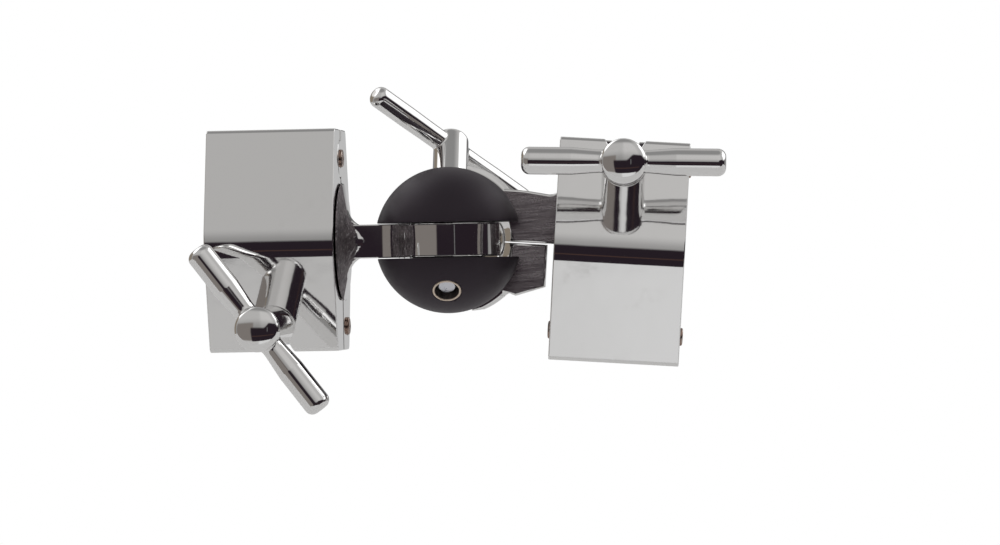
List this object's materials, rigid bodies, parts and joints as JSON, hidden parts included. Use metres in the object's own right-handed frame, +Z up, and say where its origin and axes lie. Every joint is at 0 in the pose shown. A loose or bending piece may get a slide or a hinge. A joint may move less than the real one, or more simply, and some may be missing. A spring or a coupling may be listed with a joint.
{
  "type": "tube connector",
  "caption": "Chromed swivel connector: split clamps with wing nuts grip round tubes, joined by an eye, a slotted ball, a cup and a locking T-handled draw bolt.",
  "frame": {"origin": "centre of the left clamp's bore, midway along its length", "axes": "+X along the left clamp's bore towards the ball joint, +Y towards the back jaws, +Z up, towards the left clamp's hinge pin"},
  "size_m": [0.1826, 0.1117, 0.1131],
  "materials": {
    "chromed_casting": "polished",
    "chromed_handles": "polished",
    "pin_steel": "dark oxide",
    "zinc_steel": "zinc plated",
    "insert_brass": "satin",
    "ball_nylon": "satin"
  },
  "bodies": {
    "left_back": {"tongue_jaw": "chromed_casting", "left_hinge_pin": "pin_steel", "left_bolt_pin": "pin_steel"},
    "left_front": {"left_front_jaw": "chromed_casting"},
    "left_bolt": {"left_swing_bolt": "zinc_steel"},
    "left_nut": {"left_wing_nut": "chromed_handles"},
    "ball": {"ball_lower_half": "ball_nylon", "ball_upper_half": "ball_nylon", "threaded_insert": "insert_brass"},
    "saddle": {"saddle_washer": "zinc_steel"},
    "draw_handle": {"draw_bolt": "zinc_steel", "draw_handle": "chromed_handles"},
    "right_back": {"yoke_jaw": "chromed_casting", "right_hinge_pin": "pin_steel", "right_bolt_pin": "pin_steel"},
    "right_front": {"right_front_jaw": "chromed_casting"},
    "right_bolt": {"right_swing_bolt": "zinc_steel"},
    "right_nut": {"right_wing_nut": "chromed_handles"}
  },
  "joints": [
    {"name": "tongue_swing", "type": "hinge", "parent": "left_back", "child": "ball", "pos_m": [0.0598, 0, 0], "axis": [0, 0, 1], "range_deg": [-60, 25]},
    {"name": "ball_twist", "type": "hinge", "parent": "ball", "child": "saddle", "pos_m": [0.0598, 0, 0], "axis": [-0.0432, 0.7058, 0.7071], "range_deg": [-15, 30]},
    {"name": "cup_roll", "type": "hinge", "parent": "saddle", "child": "right_back", "pos_m": [0.0598, 0, 0], "axis": [-0.061, 0.9981, 0], "range_deg": [-18, 10]},
    {"name": "draw_handle_spin", "type": "hinge", "parent": "ball", "child": "draw_handle", "pos_m": [0.0598, 0, 0], "axis": [-0.0432, 0.7058, 0.7071], "continuous": true},
    {"name": "left_bolt_swing", "type": "hinge", "parent": "left_back", "child": "left_bolt", "pos_m": [0, 0.0098, -0.0294], "axis": [1, 0, 0], "range_deg": [0, 120]},
    {"name": "left_nut_spin", "type": "hinge", "parent": "left_bolt", "child": "left_nut", "pos_m": [0, 0, -0.0294], "axis": [0, -1, 0], "continuous": true},
    {"name": "left_jaw_open", "type": "hinge", "parent": "left_back", "child": "left_front", "pos_m": [0, 0, 0.0292], "axis": [-1, 0, 0], "range_deg": [0, 18]},
    {"name": "right_bolt_swing", "type": "hinge", "parent": "right_back", "child": "right_bolt", "pos_m": [0.12088, 0.01355, 0.02494], "axis": [-0.9955, -0.0609, 0.0732], "range_deg": [0, 120]},
    {"name": "right_nut_spin", "type": "hinge", "parent": "right_bolt", "child": "right_nut", "pos_m": [0.12148, 0.00377, 0.02494], "axis": [0.061, -0.9981, 0], "continuous": true},
    {"name": "right_jaw_open", "type": "hinge", "parent": "right_back", "child": "right_front", "pos_m": [0.11719, 0.00351, -0.0335], "axis": [0.9955, 0.0609, -0.0732], "range_deg": [0, 18]}
  ],
  "couplings": [
    {"joint": "left_jaw_open", "follows": "left_bolt_swing", "ratio": 0.15},
    {"joint": "right_jaw_open", "follows": "right_bolt_swing", "ratio": 0.15}
  ]
}
